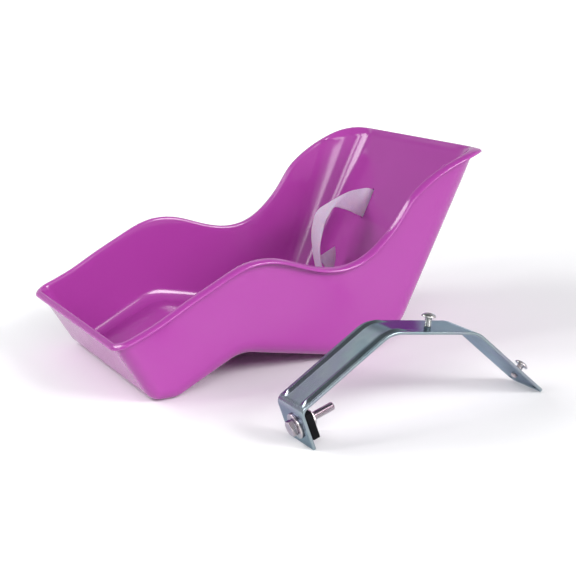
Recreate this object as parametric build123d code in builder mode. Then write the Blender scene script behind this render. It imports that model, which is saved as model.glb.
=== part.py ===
from build123d import *
import math
import os

os.makedirs("parts", exist_ok=True)

# ---------------------------------------------------------------- frame
# Millimetres, +Z up, floor at Z = 0. +X points from the footwell to the
# backrest, Y = 0 is the seat's plane of symmetry, and X = 0 is near the
# place where the footwell rests on the floor.

# ---------------------------------------------------------------- seat
WALL = 2.2              # moulded wall thickness
BRIM = 5.6              # how far the rim stands out of the side and back walls
BRIM_FRONT = 3.4        # and out of the front wall
BRIM_T = 2.4            # rim thickness
LIP_H = 3.6             # rim top to the lower edge of its lip
LIP_T = 1.8             # thickness of the turned-down lip
EDGE_R = 11.0           # outer radius where the side walls meet the rest
BACK_R = 30.0           # plan radius of the rim at the two back corners

# side profile of the outer skin: virtual corners (X, Z) and radii
P_FRONT = (-31.77, 45.58)
P_TOE = (-8.51, 1.32)
P_HEEL = (11.73, -0.30)
P_KNEE = (64.79, 22.60)
P_BACK = (190.82, -7.97)
P_TOP = (273.84, 136.91)
R_TOE, R_HEEL, R_KNEE, R_BACK = 12.0, 18.0, 28.0, 53.6

# lower edge of the rim's lip, seen from the side (X, Z)
RIM = [(-39.12, 43.72), (-25.51, 48.72), (-2.51, 57.23), (21.22, 68.79),
       (45.09, 79.63), (69.24, 88.75), (93.34, 87.85), (117.53, 78.82),
       (142.68, 73.13), (168.76, 78.59), (195.75, 100.24), (209.33, 116.77),
       (223.04, 127.17), (236.72, 134.47), (250.49, 139.8),
       (263.44, 143.4), (273.73, 144.6), (280.0, 143.8), (287.0, 141.6)]

# side wall's outer half width is SIDE_0 + SIDE_X * X + SIDE_Z * Z
SIDE_0, SIDE_X, SIDE_Z = 96.65, -0.01397, 0.05119

# strap slots in the backrest
SLOT_Y = 30.6           # slot centre from the symmetry plane
SLOT_Z = 91.0           # height of the slot's middle on the inner skin
SLOT_L = 28.0           # length up the backrest
SLOT_W = 3.6            # width across

# screw holes in the seat's underside
HOLE_R = 2.75           # clearance for an M5 screw
HOLE_THIGH = 59.0       # from the knee corner, under the thighs
HOLE_CALF = 29.5        # from the knee corner, behind the calves

# strap
STRAP_W = 25.0
STRAP_T = 1.2
# free run of the strap in front of the far slot: its two edges, station by
# station, from the slot over and down to the cut end
RUN_A = [(227.9, 27.8, 86.2), (217.8, 25.8, 91.0), (209.6, 21.6, 94.2), (202.6, 15.6, 94.4),
         (197.9, 12.2, 91.6), (194.6, 12.2, 87.2), (192.3, 12.4, 82.0), (187.3, 9.6, 72.5),
         (183.2, 5.4, 63.6), (182.6, 2.8, 52.0), (184.6, 1.6, 42.5), (189.4, 2.4, 36.0),
         (194.0, 5.4, 36.5), (195.8, 10.0, 41.0), (195.5, 16.0, 46.3)]
RUN_B = [(244.2, 36.8, 103.0), (235.6, 39.4, 102.1), (227.0, 38.4, 100.6), (217.4, 36.4, 98.2),
         (208.2, 35.2, 95.2), (201.0, 36.0, 91.6), (196.8, 37.0, 85.8), (191.4, 34.1, 72.9),
         (189.0, 29.6, 60.6), (188.6, 26.2, 48.6), (191.4, 24.8, 38.6), (197.8, 25.6, 34.6),
         (204.6, 27.8, 38.0), (208.9, 29.8, 47.0), (211.3, 32.0, 57.9)]

# ---------------------------------------------------------------- bracket
BR_ORIGIN = (0.0, -221.92)       # origin of the bracket's own plane (X, Y)
BR_YAW = 0.0                     # turn about Z, degrees
BR_W = 35.0                      # strip width
BR_T = 2.0                       # strip thickness
BR_PTS = [(44.19, 0.0), (36.63, 27.18), (105.79, 66.57),
          (172.25, 53.52), (224.06, 1.42)]
BR_RAD = [6.0, 22.0, 20.0]       # outer radii of the three bends
RIDGE_V = 12.4                   # the two pressed ribs, from the centre line
RIDGE_W = 4.0
RIDGE_H = 1.2
BOLT_S, BOLT_V = 13.3, -2.0      # clamp bolt: up the foot, across it
TOP_S = 38.2                     # upper seat screw, along the flat top
END_S = 59.0                     # lower seat screw, along the end leg
CORNER_S, CORNER_V = 68.3, 13.6  # the two small corner holes

BOLT_D = 5.9
BOLT_L = 30.0
HEAD_AF = 10.0
HEAD_H = 4.0
WASHER_OD, WASHER_ID, WASHER_T = 18.0, 6.4, 1.6
BLOCK_L, BLOCK_H, BLOCK_T = 35.0, 18.6, 5.2
NUT_AF, NUT_H, NUT_BORE = 10.0, 5.0, 6.0

SCREW_D = 4.9
SCREW_BORE = 5.0
SCREW_L = 10.0
SCREW_HEAD_D, SCREW_HEAD_H = 10.0, 2.6
SCREW_UP = 6.3                   # how far each head stands off its plate

yaw = math.radians(BR_YAW)
EX = Vector(math.cos(yaw), math.sin(yaw), 0)
EY = Vector(-math.sin(yaw), math.cos(yaw), 0)


def unit(a, b):
    d = math.hypot(b[0] - a[0], b[1] - a[1])
    return ((b[0] - a[0]) / d, (b[1] - a[1]) / d)


def seg(i):
    """start, direction and outward normal of strip run i, in (u, z)"""
    a, b = BR_PTS[i], BR_PTS[i + 1]
    d = unit(a, b)
    return a, d, (-d[1], d[0])


def world(u, v, z):
    return Vector(BR_ORIGIN[0], BR_ORIGIN[1], 0) + EX * u + EY * v + Vector(0, 0, z)


def plate(i, s, v, off=0.0):
    """plane on strip run i, s along it, v across it, normal pointing out"""
    a, d, n = seg(i)
    o = world(a[0] + d[0] * s + n[0] * off, v, a[1] + d[1] * s + n[1] * off)
    normal = EX * n[0] + Vector(0, 0, n[1])
    return Plane(origin=o, x_dir=EX * d[0] + Vector(0, 0, d[1]), z_dir=normal)


# ---------------------------------------------------------------- seat body
front_dir = unit(P_TOE, P_FRONT)
back_dir = unit(P_BACK, P_TOP)
FAR = 70.0
F_UP = (P_FRONT[0] + front_dir[0] * FAR, P_FRONT[1] + front_dir[1] * FAR)
B_UP = (P_TOP[0] + back_dir[0] * FAR, P_TOP[1] + back_dir[1] * FAR)


def tub(grow, edge_r):
    """solid bounded by the outer skin grown by the given amount"""
    with BuildPart() as t:
        with BuildSketch(Plane.XZ) as sk:
            with BuildLine():
                Polyline(F_UP, P_TOE, P_HEEL, P_KNEE, P_BACK, B_UP, close=True)
            make_face()
            for p, r in ((P_TOE, R_TOE), (P_HEEL, R_HEEL), (P_KNEE, R_KNEE), (P_BACK, R_BACK)):
                fillet(sk.vertices().sort_by_distance(p)[0], r)
            if grow:
                offset(amount=grow, kind=Kind.ARC, mode=Mode.REPLACE)
        extrude(amount=150, both=True)
        n = math.sqrt(1 + SIDE_X ** 2 + SIDE_Z ** 2)
        h = SIDE_0 + grow * n
        split(bisect_by=Plane(origin=(0, h, 0), z_dir=(-SIDE_X, 1, -SIDE_Z)), keep=Keep.BOTTOM)
        split(bisect_by=Plane(origin=(0, -h, 0), z_dir=(-SIDE_X, -1, -SIDE_Z)), keep=Keep.BOTTOM)
        side = [e for e in t.edges() if abs(e.center().Y) > 60 and e.bounding_box().size.Y < 40]
        roof = min(F_UP[1], B_UP[1]) - 20
        chain = [e for e in side if min((e @ 0).Z, (e @ 1).Z) < roof]
        fillet(chain, edge_r)
    return t.part


def collar(shrink, r_front, r_back):
    """prism round the rim's outer edge, drawn in by shrink"""
    low = 15.0
    gf, gb = BRIM_FRONT - shrink, BRIM - shrink

    def front(z):
        return (P_TOE[0] + front_dir[0] / front_dir[1] * (z - P_TOE[1]) - gf / front_dir[1], z)

    def back(z):
        return (P_BACK[0] + back_dir[0] / back_dir[1] * (z - P_BACK[1]) + gb / back_dir[1], z)

    grow = gb
    with BuildPart() as t:
        with BuildSketch(Plane.XZ):
            with BuildLine():
                Polyline(front(F_UP[1]), front(low), back(low), back(B_UP[1]), close=True)
            make_face()
        extrude(amount=150, both=True)
        n = math.sqrt(1 + SIDE_X ** 2 + SIDE_Z ** 2)
        h = SIDE_0 + grow * n
        split(bisect_by=Plane(origin=(0, h, 0), z_dir=(-SIDE_X, 1, -SIDE_Z)), keep=Keep.BOTTOM)
        split(bisect_by=Plane(origin=(0, -h, 0), z_dir=(-SIDE_X, -1, -SIDE_Z)), keep=Keep.BOTTOM)
        upright = [e for e in t.edges() if abs(e.center().Y) > 60 and e.bounding_box().size.Y < 40
                   and e.bounding_box().size.Z > 60]
        lean = [e for e in upright if min((e @ 0).Z, (e @ 1).Z) < 30]
        fillet([e for e in lean if e.center().X < 60], r_front)
        upright = [e for e in t.edges() if abs(e.center().Y) > 60 and e.center().X > 150
                   and e.bounding_box().size.Z > 60 and min((e @ 0).Z, (e @ 1).Z) < 30
                   and e.geom_type == GeomType.LINE]
        fillet(upright, r_back)
    return t.part


def rim_curve(lift):
    """rim curve raised by lift, square to itself, run out past both ends"""
    pts = []
    for i, p in enumerate(RIM):
        a, b = RIM[max(i - 1, 0)], RIM[min(i + 1, len(RIM) - 1)]
        d = unit(a, b)
        pts.append((p[0] - d[1] * lift, p[1] + d[0] * lift))
    d0, d1 = unit(pts[0], pts[1]), unit(pts[-2], pts[-1])
    first = (pts[0][0] - d0[0] * 40, pts[0][1] - d0[1] * 40)
    last = (pts[-1][0] + d1[0] * 60, pts[-1][1] + d1[1] * 60)
    return [first] + pts + [last]


def under_rim(lift):
    """everything below the rim curve raised by lift"""
    pts = rim_curve(lift)
    with BuildPart() as b:
        with BuildSketch(Plane.XZ):
            with BuildLine():
                Line(pts[0], pts[1])
                Spline(pts[1:-1], tangents=[unit(pts[0], pts[1]), unit(pts[-2], pts[-1])])
                Polyline(pts[-2], pts[-1], (pts[-1][0], -60), (pts[0][0], -60), pts[0])
            make_face()
        extrude(amount=160, both=True)
    return b.part


outer = tub(0, EDGE_R)
inner = tub(-WALL, EDGE_R - WALL)
brim_out = collar(0, EDGE_R + BRIM_FRONT, BACK_R)
brim_in = collar(LIP_T, EDGE_R + BRIM_FRONT - LIP_T, BACK_R - LIP_T)
top_cut = under_rim(LIP_H)
brim_low = under_rim(LIP_H - BRIM_T)
lip_low = under_rim(0)

with BuildPart() as brim:
    add(brim_out)
    add(top_cut, mode=Mode.INTERSECT)
    add(brim_low, mode=Mode.SUBTRACT)
    add(inner, mode=Mode.SUBTRACT)

with BuildPart() as lip:
    add(brim_out)
    add(top_cut, mode=Mode.INTERSECT)
    add(lip_low, mode=Mode.SUBTRACT)
    add(brim_in, mode=Mode.SUBTRACT)

# plane on the backrest's inner skin at the height of the slots
back_n = (-back_dir[1], back_dir[0])                       # into the seat
slot_s = (SLOT_Z - P_BACK[1] - back_n[1] * WALL) / back_dir[1]
slot_o = (P_BACK[0] + back_dir[0] * slot_s + back_n[0] * WALL,
          P_BACK[1] + back_dir[1] * slot_s + back_n[1] * WALL)
back_plane = Plane(origin=(slot_o[0], 0, slot_o[1]), x_dir=(0, 1, 0),
                   z_dir=(back_n[0], 0, back_n[1]))

knee_calf = unit(P_KNEE, P_HEEL)
knee_thigh = unit(P_KNEE, P_BACK)


def underside(d, s):
    """plane on the underside, s from the knee corner along d"""
    n = (-d[1], d[0]) if d[0] > 0 else (d[1], -d[0])       # into the seat
    o = (P_KNEE[0] + d[0] * s, P_KNEE[1] + d[1] * s)
    return Plane(origin=(o[0], 0, o[1]), x_dir=(0, 1, 0), z_dir=(n[0], 0, n[1]))


calf_hole = underside(knee_calf, HOLE_CALF)
thigh_hole = underside(knee_thigh, HOLE_THIGH)

with BuildPart() as seat_shell:
    add(outer)
    add(top_cut, mode=Mode.INTERSECT)
    add(inner, mode=Mode.SUBTRACT)
    add(brim.part)
    add(lip.part)
    # strap slots, open through the backrest
    with BuildSketch(back_plane):
        with Locations((SLOT_Y, 0), (-SLOT_Y, 0)):
            SlotOverall(SLOT_L, SLOT_W, rotation=90)
    extrude(amount=8, both=True, mode=Mode.SUBTRACT)
    # screw holes, square to the underside
    for pl in (calf_hole, thigh_hole):
        with BuildSketch(pl):
            Circle(HOLE_R)
        extrude(amount=6, both=True, mode=Mode.SUBTRACT)
seat_shell.part.label = "seat_shell"
print("seat", seat_shell.part.bounding_box(), "solids", len(seat_shell.part.solids()), seat_shell.part.volume)

# ---------------------------------------------------------------- strap
# one webbing strap: across the outside of the backrest, in through both
# slots, along the inner skin and free at both ends
GAP = 0.4
half_t = STRAP_T / 2
z_out = -(WALL + GAP + half_t)   # centre line outside, along the plane's normal
z_in = GAP + half_t      # centre line inside
reach = 3.0              # how far the far tab stands in before the free run
route = [(-76, z_in), (-SLOT_Y, z_in), (-SLOT_Y, z_out), (SLOT_Y, z_out), (SLOT_Y, reach)]
strap_plane = Plane(origin=(slot_o[0], 0, slot_o[1]), x_dir=(0, 1, 0),
                    z_dir=(back_dir[0], 0, back_dir[1]))
# in strap_plane: local x is +Y; local y is z_dir x x_dir
ly = strap_plane.y_dir
sy = 1 if ly.dot(Vector(back_n[0], 0, back_n[1])) > 0 else -1


def bar(a, b):
    """rectangle of strap thickness round the centre line a to b"""
    lo = (min(a[0], b[0]) - half_t, min(sy * a[1], sy * b[1]) - half_t)
    hi = (max(a[0], b[0]) + half_t, max(sy * a[1], sy * b[1]) + half_t)
    with Locations(((lo[0] + hi[0]) / 2, (lo[1] + hi[1]) / 2)):
        Rectangle(hi[0] - lo[0], hi[1] - lo[1])


with BuildPart() as waist_strap:
    with BuildSketch(strap_plane):
        for a, b in zip(route[:-1], route[1:]):
            bar(a, b)
    extrude(amount=STRAP_W / 2, both=True)
    # the far end's free run, twisting forward and hanging down
    root = back_plane.from_local_coords((SLOT_Y, 0, reach - 0.5))
    mids, wides = [root], [Vector(back_dir[0], 0, back_dir[1])]
    for p, q in zip(RUN_A, RUN_B):
        mids.append((Vector(*p) + Vector(*q)) * 0.5)
        wides.append((Vector(*q) - Vector(*p)).normalized())
    for k, (m, w) in enumerate(zip(mids, wides)):
        if k == 0:
            t = back_plane.z_dir
        else:
            t = mids[min(k + 1, len(mids) - 1)] - mids[k - 1]
        t = (t - w * t.dot(w)).normalized()
        with BuildSketch(Plane(origin=m, x_dir=w, z_dir=t)):
            Rectangle(STRAP_W, STRAP_T)
    loft(ruled=True)
waist_strap.part.label = "waist_strap"
print("strap", waist_strap.part.bounding_box(), "solids", len(waist_strap.part.solids()))

# ---------------------------------------------------------------- bracket
up = Vector(0, 0, 1)
br_plane = Plane(origin=(BR_ORIGIN[0], BR_ORIGIN[1], 0), x_dir=EX, z_dir=EX.cross(up))


# lower skin: the same corners moved in by the thickness
BR_LOW = []
for k, p in enumerate(BR_PTS):
    n1 = seg(max(k - 1, 0))[2]
    n2 = seg(min(k, len(BR_PTS) - 2))[2]
    m = (n1[0] + n2[0], n1[1] + n2[1])
    q = BR_T / (m[0] * n1[0] + m[1] * n1[1])
    BR_LOW.append((p[0] - m[0] * q, p[1] - m[1] * q))

with BuildPart() as mounting_bracket:
    with BuildSketch(br_plane):
        with BuildLine():
            skin = FilletPolyline(*BR_PTS, radius=BR_RAD)
            under = FilletPolyline(*BR_LOW, radius=[r - BR_T for r in BR_RAD])
            Line(skin @ 0, under @ 0)
            Line(skin @ 1, under @ 1)
        make_face()
    extrude(amount=BR_W / 2, both=True)
    # rounded far corner of the end leg
    ends = [e for e in mounting_bracket.edges()
            if e.geom_type == GeomType.LINE and abs(e.length - BR_T) < 0.05]
    far_end = sorted(ends, key=lambda e: (e.center() - world(BR_PTS[-1][0], BR_W / 2, 0)).length)[0]
    fillet(far_end, 4.0)
    # holes: clamp bolt, two tapped holes, two small corner holes
    for pl, r in ((plate(0, BOLT_S, BOLT_V), 3.2), (plate(2, TOP_S, 0), SCREW_BORE / 2),
                  (plate(3, END_S, 0), SCREW_BORE / 2),
                  (plate(3, CORNER_S, CORNER_V), 1.5), (plate(3, CORNER_S, -CORNER_V), 1.5)):
        with BuildSketch(pl):
            Circle(r)
        extrude(amount=6, both=True, mode=Mode.SUBTRACT)
    # two pressed ribs along the long leg
    for sgn in (1, -1):
        with BuildSketch(plate(1, 4.0, sgn * RIDGE_V, -0.5)):
            with Locations((36, 0)):
                SlotOverall(72, RIDGE_W)
        extrude(amount=RIDGE_H + 0.5)
mounting_bracket.part.label = "mounting_bracket"
print("bracket", mounting_bracket.part.bounding_box(), "solids", len(mounting_bracket.part.solids()))

# ---------------------------------------------------------------- clamp
washer_plane = plate(0, BOLT_S, BOLT_V, 0.05)
with BuildPart() as clamp_washer:
    with BuildSketch(washer_plane):
        Circle(WASHER_OD / 2)
        Circle(WASHER_ID / 2, mode=Mode.SUBTRACT)
    extrude(amount=WASHER_T)
    chamfer(clamp_washer.edges().filter_by(GeomType.CIRCLE).group_by(SortBy.RADIUS)[-1], 0.25)
clamp_washer.part.label = "clamp_washer"

head_plane = plate(0, BOLT_S, BOLT_V, 0.05 + WASHER_T)
with BuildPart() as clamp_bolt:
    with BuildSketch(head_plane):
        RegularPolygon(HEAD_AF / 2, 6, major_radius=False)
    extrude(amount=HEAD_H)
    with BuildSketch(head_plane):
        Circle(BOLT_D / 2)
    extrude(amount=-BOLT_L)
    tip = clamp_bolt.faces().sort_by(Axis(head_plane.origin, head_plane.z_dir))[0]
    chamfer(tip.edges(), 0.7)
clamp_bolt.part.label = "clamp_bolt"

block_gap = 0.2
block_plane = plate(0, BOLT_S + 2.0, 0, -(BR_T + block_gap))
with BuildPart() as clamp_block:
    with BuildSketch(block_plane):
        RectangleRounded(BLOCK_H, BLOCK_L, 0.8)
    extrude(amount=-BLOCK_T)
    with BuildSketch(plate(0, BOLT_S, BOLT_V, -(BR_T + block_gap))):
        Circle(3.3)
    extrude(amount=-BLOCK_T, mode=Mode.SUBTRACT)
clamp_block.part.label = "clamp_block"

with BuildPart() as clamp_nut:
    with BuildSketch(plate(0, BOLT_S, BOLT_V, -(BR_T + block_gap + BLOCK_T))):
        RegularPolygon(NUT_AF / 2, 6, major_radius=False)
        Circle(NUT_BORE / 2, mode=Mode.SUBTRACT)
    extrude(amount=-NUT_H)
clamp_nut.part.label = "clamp_nut"


# ---------------------------------------------------------------- seat screws
def seat_screw(i, s):
    """low domed screw with a cross recess, standing SCREW_UP off its plate"""
    pl = plate(i, s, 0, SCREW_UP)
    shank = Plane(origin=pl.origin, x_dir=pl.x_dir, z_dir=-pl.z_dir)
    profile = Plane(origin=pl.origin, x_dir=pl.x_dir, z_dir=pl.x_dir.cross(pl.z_dir))
    with BuildPart() as sc:
        with BuildSketch(profile):
            with BuildLine():
                l1 = Line((0, 0), (SCREW_HEAD_D / 2, 0))
                l2 = Line(l1 @ 1, (SCREW_HEAD_D / 2, 0.6))
                l3 = ThreePointArc(l2 @ 1, (SCREW_HEAD_D / 2 * 0.62, SCREW_HEAD_H * 0.80), (1.0, SCREW_HEAD_H))
                Polyline(l3 @ 1, (0, SCREW_HEAD_H), (0, 0))
            make_face()
        revolve(axis=Axis(pl.origin, pl.z_dir))
        with BuildSketch(shank):
            Circle(SCREW_D / 2)
        extrude(amount=SCREW_L)
        with BuildSketch(pl.offset(SCREW_HEAD_H + 0.5)):
            Rectangle(5.0, 1.1)
            Rectangle(1.1, 5.0)
        extrude(amount=-2.1, mode=Mode.SUBTRACT)
    return sc.part


seat_screw_top = seat_screw(2, TOP_S)
seat_screw_top.label = "seat_screw_top"
seat_screw_end = seat_screw(3, END_S)
seat_screw_end.label = "seat_screw_end"

# ---------------------------------------------------------------- export
for piece in (seat_shell.part, waist_strap.part, mounting_bracket.part, clamp_bolt.part,
              clamp_washer.part, clamp_block.part, clamp_nut.part, seat_screw_top, seat_screw_end):
    export_step(piece, f"parts/{piece.label}.step")
    bb = piece.bounding_box()
    print(piece.label, len(piece.solids()), round(piece.volume, 1),
          [round(v, 2) for v in (bb.min.X, bb.min.Y, bb.min.Z, bb.max.X, bb.max.Y, bb.max.Z)])
for nm, pl in (("calf_hole", calf_hole), ("thigh_hole", thigh_hole), ("slots", back_plane),
               ("bolt", head_plane), ("top_screw", plate(2, TOP_S, 0)), ("end_screw", plate(3, END_S, 0)),
               ("corner_a", plate(3, CORNER_S, CORNER_V)), ("corner_b", plate(3, CORNER_S, -CORNER_V))):
    print(nm, [round(v, 3) for v in pl.origin], [round(v, 5) for v in pl.z_dir])
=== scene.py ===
import math

import bmesh
import bpy
import numpy as np
from mathutils import Matrix, Vector


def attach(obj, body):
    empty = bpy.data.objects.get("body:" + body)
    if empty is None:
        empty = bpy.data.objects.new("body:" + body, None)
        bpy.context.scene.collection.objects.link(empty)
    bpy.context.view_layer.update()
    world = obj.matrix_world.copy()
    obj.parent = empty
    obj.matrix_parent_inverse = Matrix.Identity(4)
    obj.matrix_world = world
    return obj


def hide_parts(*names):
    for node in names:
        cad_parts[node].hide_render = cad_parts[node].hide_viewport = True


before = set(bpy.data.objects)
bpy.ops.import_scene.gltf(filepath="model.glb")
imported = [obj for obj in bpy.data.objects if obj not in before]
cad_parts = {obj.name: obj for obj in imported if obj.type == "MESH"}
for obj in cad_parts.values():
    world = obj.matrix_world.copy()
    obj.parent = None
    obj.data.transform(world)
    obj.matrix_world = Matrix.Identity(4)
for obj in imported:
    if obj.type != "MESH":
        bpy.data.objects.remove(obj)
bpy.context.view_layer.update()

MM = 0.001
COLL = bpy.context.scene.collection

# ------------------------------------------------------------------ sizes
# the same driving dimensions as the construction, in millimetres
WALL = 2.2
P_FRONT, P_TOE, P_HEEL = (-31.77, 45.58), (-8.51, 1.32), (11.73, -0.30)
P_KNEE, P_BACK, P_TOP = (64.79, 22.60), (190.82, -7.97), (273.84, 136.91)
R_TOE, R_HEEL, R_KNEE, R_BACK = 12.0, 18.0, 28.0, 53.6
RIM = [(-39.12, 43.72), (-25.51, 48.72), (-2.51, 57.23), (21.22, 68.79),
       (45.09, 79.63), (69.24, 88.75), (93.34, 87.85), (117.53, 78.82),
       (142.68, 73.13), (168.76, 78.59), (195.75, 100.24), (209.33, 116.77),
       (223.04, 127.17), (236.72, 134.47), (250.49, 139.8),
       (263.44, 143.4), (273.73, 144.6), (280.0, 143.8), (287.0, 141.6)]
LIP_H = 3.4
SIDE_0, SIDE_X, SIDE_Z = 96.65, -0.01397, 0.05119
BACK_DIR = np.array([0.497183, 0.0, 0.867645])
BACK_N = np.array([-0.867645, 0.0, 0.497183])
SLOT_C = np.array([244.997, 0.0, 91.0])
SLOT_Y, SLOT_L, SLOT_W = 30.6, 28.0, 3.6
STRAP_W, STRAP_T = 25.0, 1.2
BR_O = np.array([0.0, -221.92, 0.0])
BR_YAW = 0.0
BR_W, BR_T = 35.0, 2.0
BR_PTS = [(44.19, 0.0), (36.63, 27.18), (105.79, 66.57), (172.25, 53.52), (224.06, 1.42)]
BR_RAD = [6.0, 22.0, 20.0]
BOLT_S, BOLT_V, TOP_S, END_S, CORNER_S, CORNER_V = 13.3, -2.0, 38.2, 59.0, 68.3, 13.6
SCREW_UP = 6.3
EX = np.array([math.cos(BR_YAW), math.sin(BR_YAW), 0.0])
EY = np.array([-math.sin(BR_YAW), math.cos(BR_YAW), 0.0])
EZ = np.array([0.0, 0.0, 1.0])


# ------------------------------------------------------------------ helpers
def unit(v):
    v = np.asarray(v, float)
    return v / np.linalg.norm(v)


def make(name, verts, faces, sharp=35.0, merge=0.0, uvs=None):
    """mesh object from points in millimetres; smooth, with sharp edges marked"""
    me = bpy.data.meshes.new(name)
    me.from_pydata([tuple(float(c) * MM for c in v) for v in verts], [], faces)
    if uvs is not None:
        lay = me.uv_layers.new(name="UVMap")
        for lo in me.loops:
            lay.data[lo.index].uv = uvs[lo.vertex_index]
    bm = bmesh.new()
    bm.from_mesh(me)
    if merge:
        bmesh.ops.remove_doubles(bm, verts=bm.verts, dist=merge * MM)
        bmesh.ops.dissolve_degenerate(bm, edges=bm.edges, dist=1e-7)
    bmesh.ops.recalc_face_normals(bm, faces=bm.faces)
    finish_bm(bm, sharp)
    bm.to_mesh(me)
    bm.free()
    ob = bpy.data.objects.new(name, me)
    COLL.objects.link(ob)
    return ob


def finish_bm(bm, sharp):
    lim = math.radians(sharp)
    for f in bm.faces:
        f.smooth = True
    for e in bm.edges:
        e.smooth = not (len(e.link_faces) != 2 or e.calc_face_angle(0.0) > lim)


def reshade(ob, sharp=35.0):
    bm = bmesh.new()
    bm.from_mesh(ob.data)
    finish_bm(bm, sharp)
    bm.to_mesh(ob.data)
    bm.free()


def apply_mods(ob):
    dg = bpy.context.evaluated_depsgraph_get()
    ev = ob.evaluated_get(dg)
    me = bpy.data.meshes.new_from_object(ev, preserve_all_data_layers=True, depsgraph=dg)
    old = ob.data
    ob.modifiers.clear()
    ob.data = me
    me.name = old.name
    return ob


def cut(ob, cutters, sharp=35.0):
    for c in cutters:
        m = ob.modifiers.new("cut", "BOOLEAN")
        m.operation = "DIFFERENCE"
        m.solver = "EXACT"
        m.object = c
    bpy.context.view_layer.update()
    apply_mods(ob)
    for c in cutters:
        bpy.data.objects.remove(c, do_unlink=True)
    reshade(ob, sharp)
    return ob


def prism(name, outline, origin, xd, yd, depth0, depth1):
    """closed prism: outline in (x, y) millimetres on the plane, from depth0 to depth1 along its normal"""
    xd, yd = unit(xd), unit(yd)
    zd = np.cross(xd, yd)
    n = len(outline)
    vs = [origin + xd * a + yd * b + zd * depth0 for a, b in outline] + \
         [origin + xd * a + yd * b + zd * depth1 for a, b in outline]
    fs = [tuple(range(n))[::-1], tuple(range(n, 2 * n))] + \
         [(i, (i + 1) % n, n + (i + 1) % n, n + i) for i in range(n)]
    return make(name, vs, fs, sharp=30)


def circle(r, n=48):
    return [(r * math.cos(2 * math.pi * k / n), r * math.sin(2 * math.pi * k / n)) for k in range(n)]


def slot_outline(length, width, n=10):
    r, h = width / 2, length / 2 - width / 2
    pts = []
    for k in range(n + 1):
        a = math.pi * k / n
        pts.append((r * math.cos(a), h + r * math.sin(a)))
    for k in range(n + 1):
        a = math.pi + math.pi * k / n
        pts.append((r * math.cos(a), -h + r * math.sin(a)))
    return pts


def spline(pts, n):
    """natural cubic through points, n samples a span, any dimension"""
    p = np.asarray(pts, float)
    d = np.linalg.norm(np.diff(p, axis=0), axis=1)
    t = np.concatenate([[0], np.cumsum(np.sqrt(d) * np.sqrt(d.mean()))])
    m = len(p)
    A = np.zeros((m, m))
    b = np.zeros((m, p.shape[1]))
    h = np.diff(t)
    A[0, 0] = A[-1, -1] = 1
    for i in range(1, m - 1):
        A[i, i - 1], A[i, i], A[i, i + 1] = h[i - 1], 2 * (h[i - 1] + h[i]), h[i]
        b[i] = 6 * ((p[i + 1] - p[i]) / h[i] - (p[i] - p[i - 1]) / h[i - 1])
    M = np.linalg.solve(A, b)
    out = []
    for i in range(m - 1):
        for k in range(n):
            x = t[i] + h[i] * k / n
            a, c = t[i + 1] - x, x - t[i]
            out.append((M[i] * a ** 3 + M[i + 1] * c ** 3) / (6 * h[i])
                       + (p[i] / h[i] - M[i] * h[i] / 6) * a + (p[i + 1] / h[i] - M[i + 1] * h[i] / 6) * c)
    out.append(p[-1])
    return np.array(out)


# ------------------------------------------------------------------ materials
def new_mat(name):
    m = bpy.data.materials.new(name)
    m.use_nodes = True
    nt = m.node_tree
    bsdf = next(n for n in nt.nodes if n.type == "BSDF_PRINCIPLED")
    return m, nt, bsdf


def node(nt, kind, **kw):
    n = nt.nodes.new(kind)
    for k, v in kw.items():
        setattr(n, k, v)
    return n


def noise(nt, vec, scale, detail=4.0, rough=0.5):
    n = node(nt, "ShaderNodeTexNoise")
    n.inputs["Scale"].default_value = scale
    n.inputs["Detail"].default_value = detail
    n.inputs["Roughness"].default_value = rough
    nt.links.new(vec, n.inputs["Vector"])
    return n


def ramp(nt, fac, stops):
    r = node(nt, "ShaderNodeValToRGB")
    el = r.color_ramp.elements
    while len(el) < len(stops):
        el.new(0.5)
    for e, (p, c) in zip(el, stops):
        e.position = p
        e.color = (*c, 1.0)
    nt.links.new(fac, r.inputs["Fac"])
    return r


def maprange(nt, val, a, b, c, d):
    m = node(nt, "ShaderNodeMapRange")
    m.inputs["From Min"].default_value = a
    m.inputs["From Max"].default_value = b
    m.inputs["To Min"].default_value = c
    m.inputs["To Max"].default_value = d
    nt.links.new(val, m.inputs["Value"])
    return m.outputs["Result"]


def bump(nt, bsdf, height, strength, dist, prev=None):
    b = node(nt, "ShaderNodeBump")
    b.inputs["Strength"].default_value = strength
    b.inputs["Distance"].default_value = dist
    nt.links.new(height, b.inputs["Height"])
    if prev is not None:
        nt.links.new(prev, b.inputs["Normal"])
    nt.links.new(b.outputs["Normal"], bsdf.inputs["Normal"])
    return b.outputs["Normal"]


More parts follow.
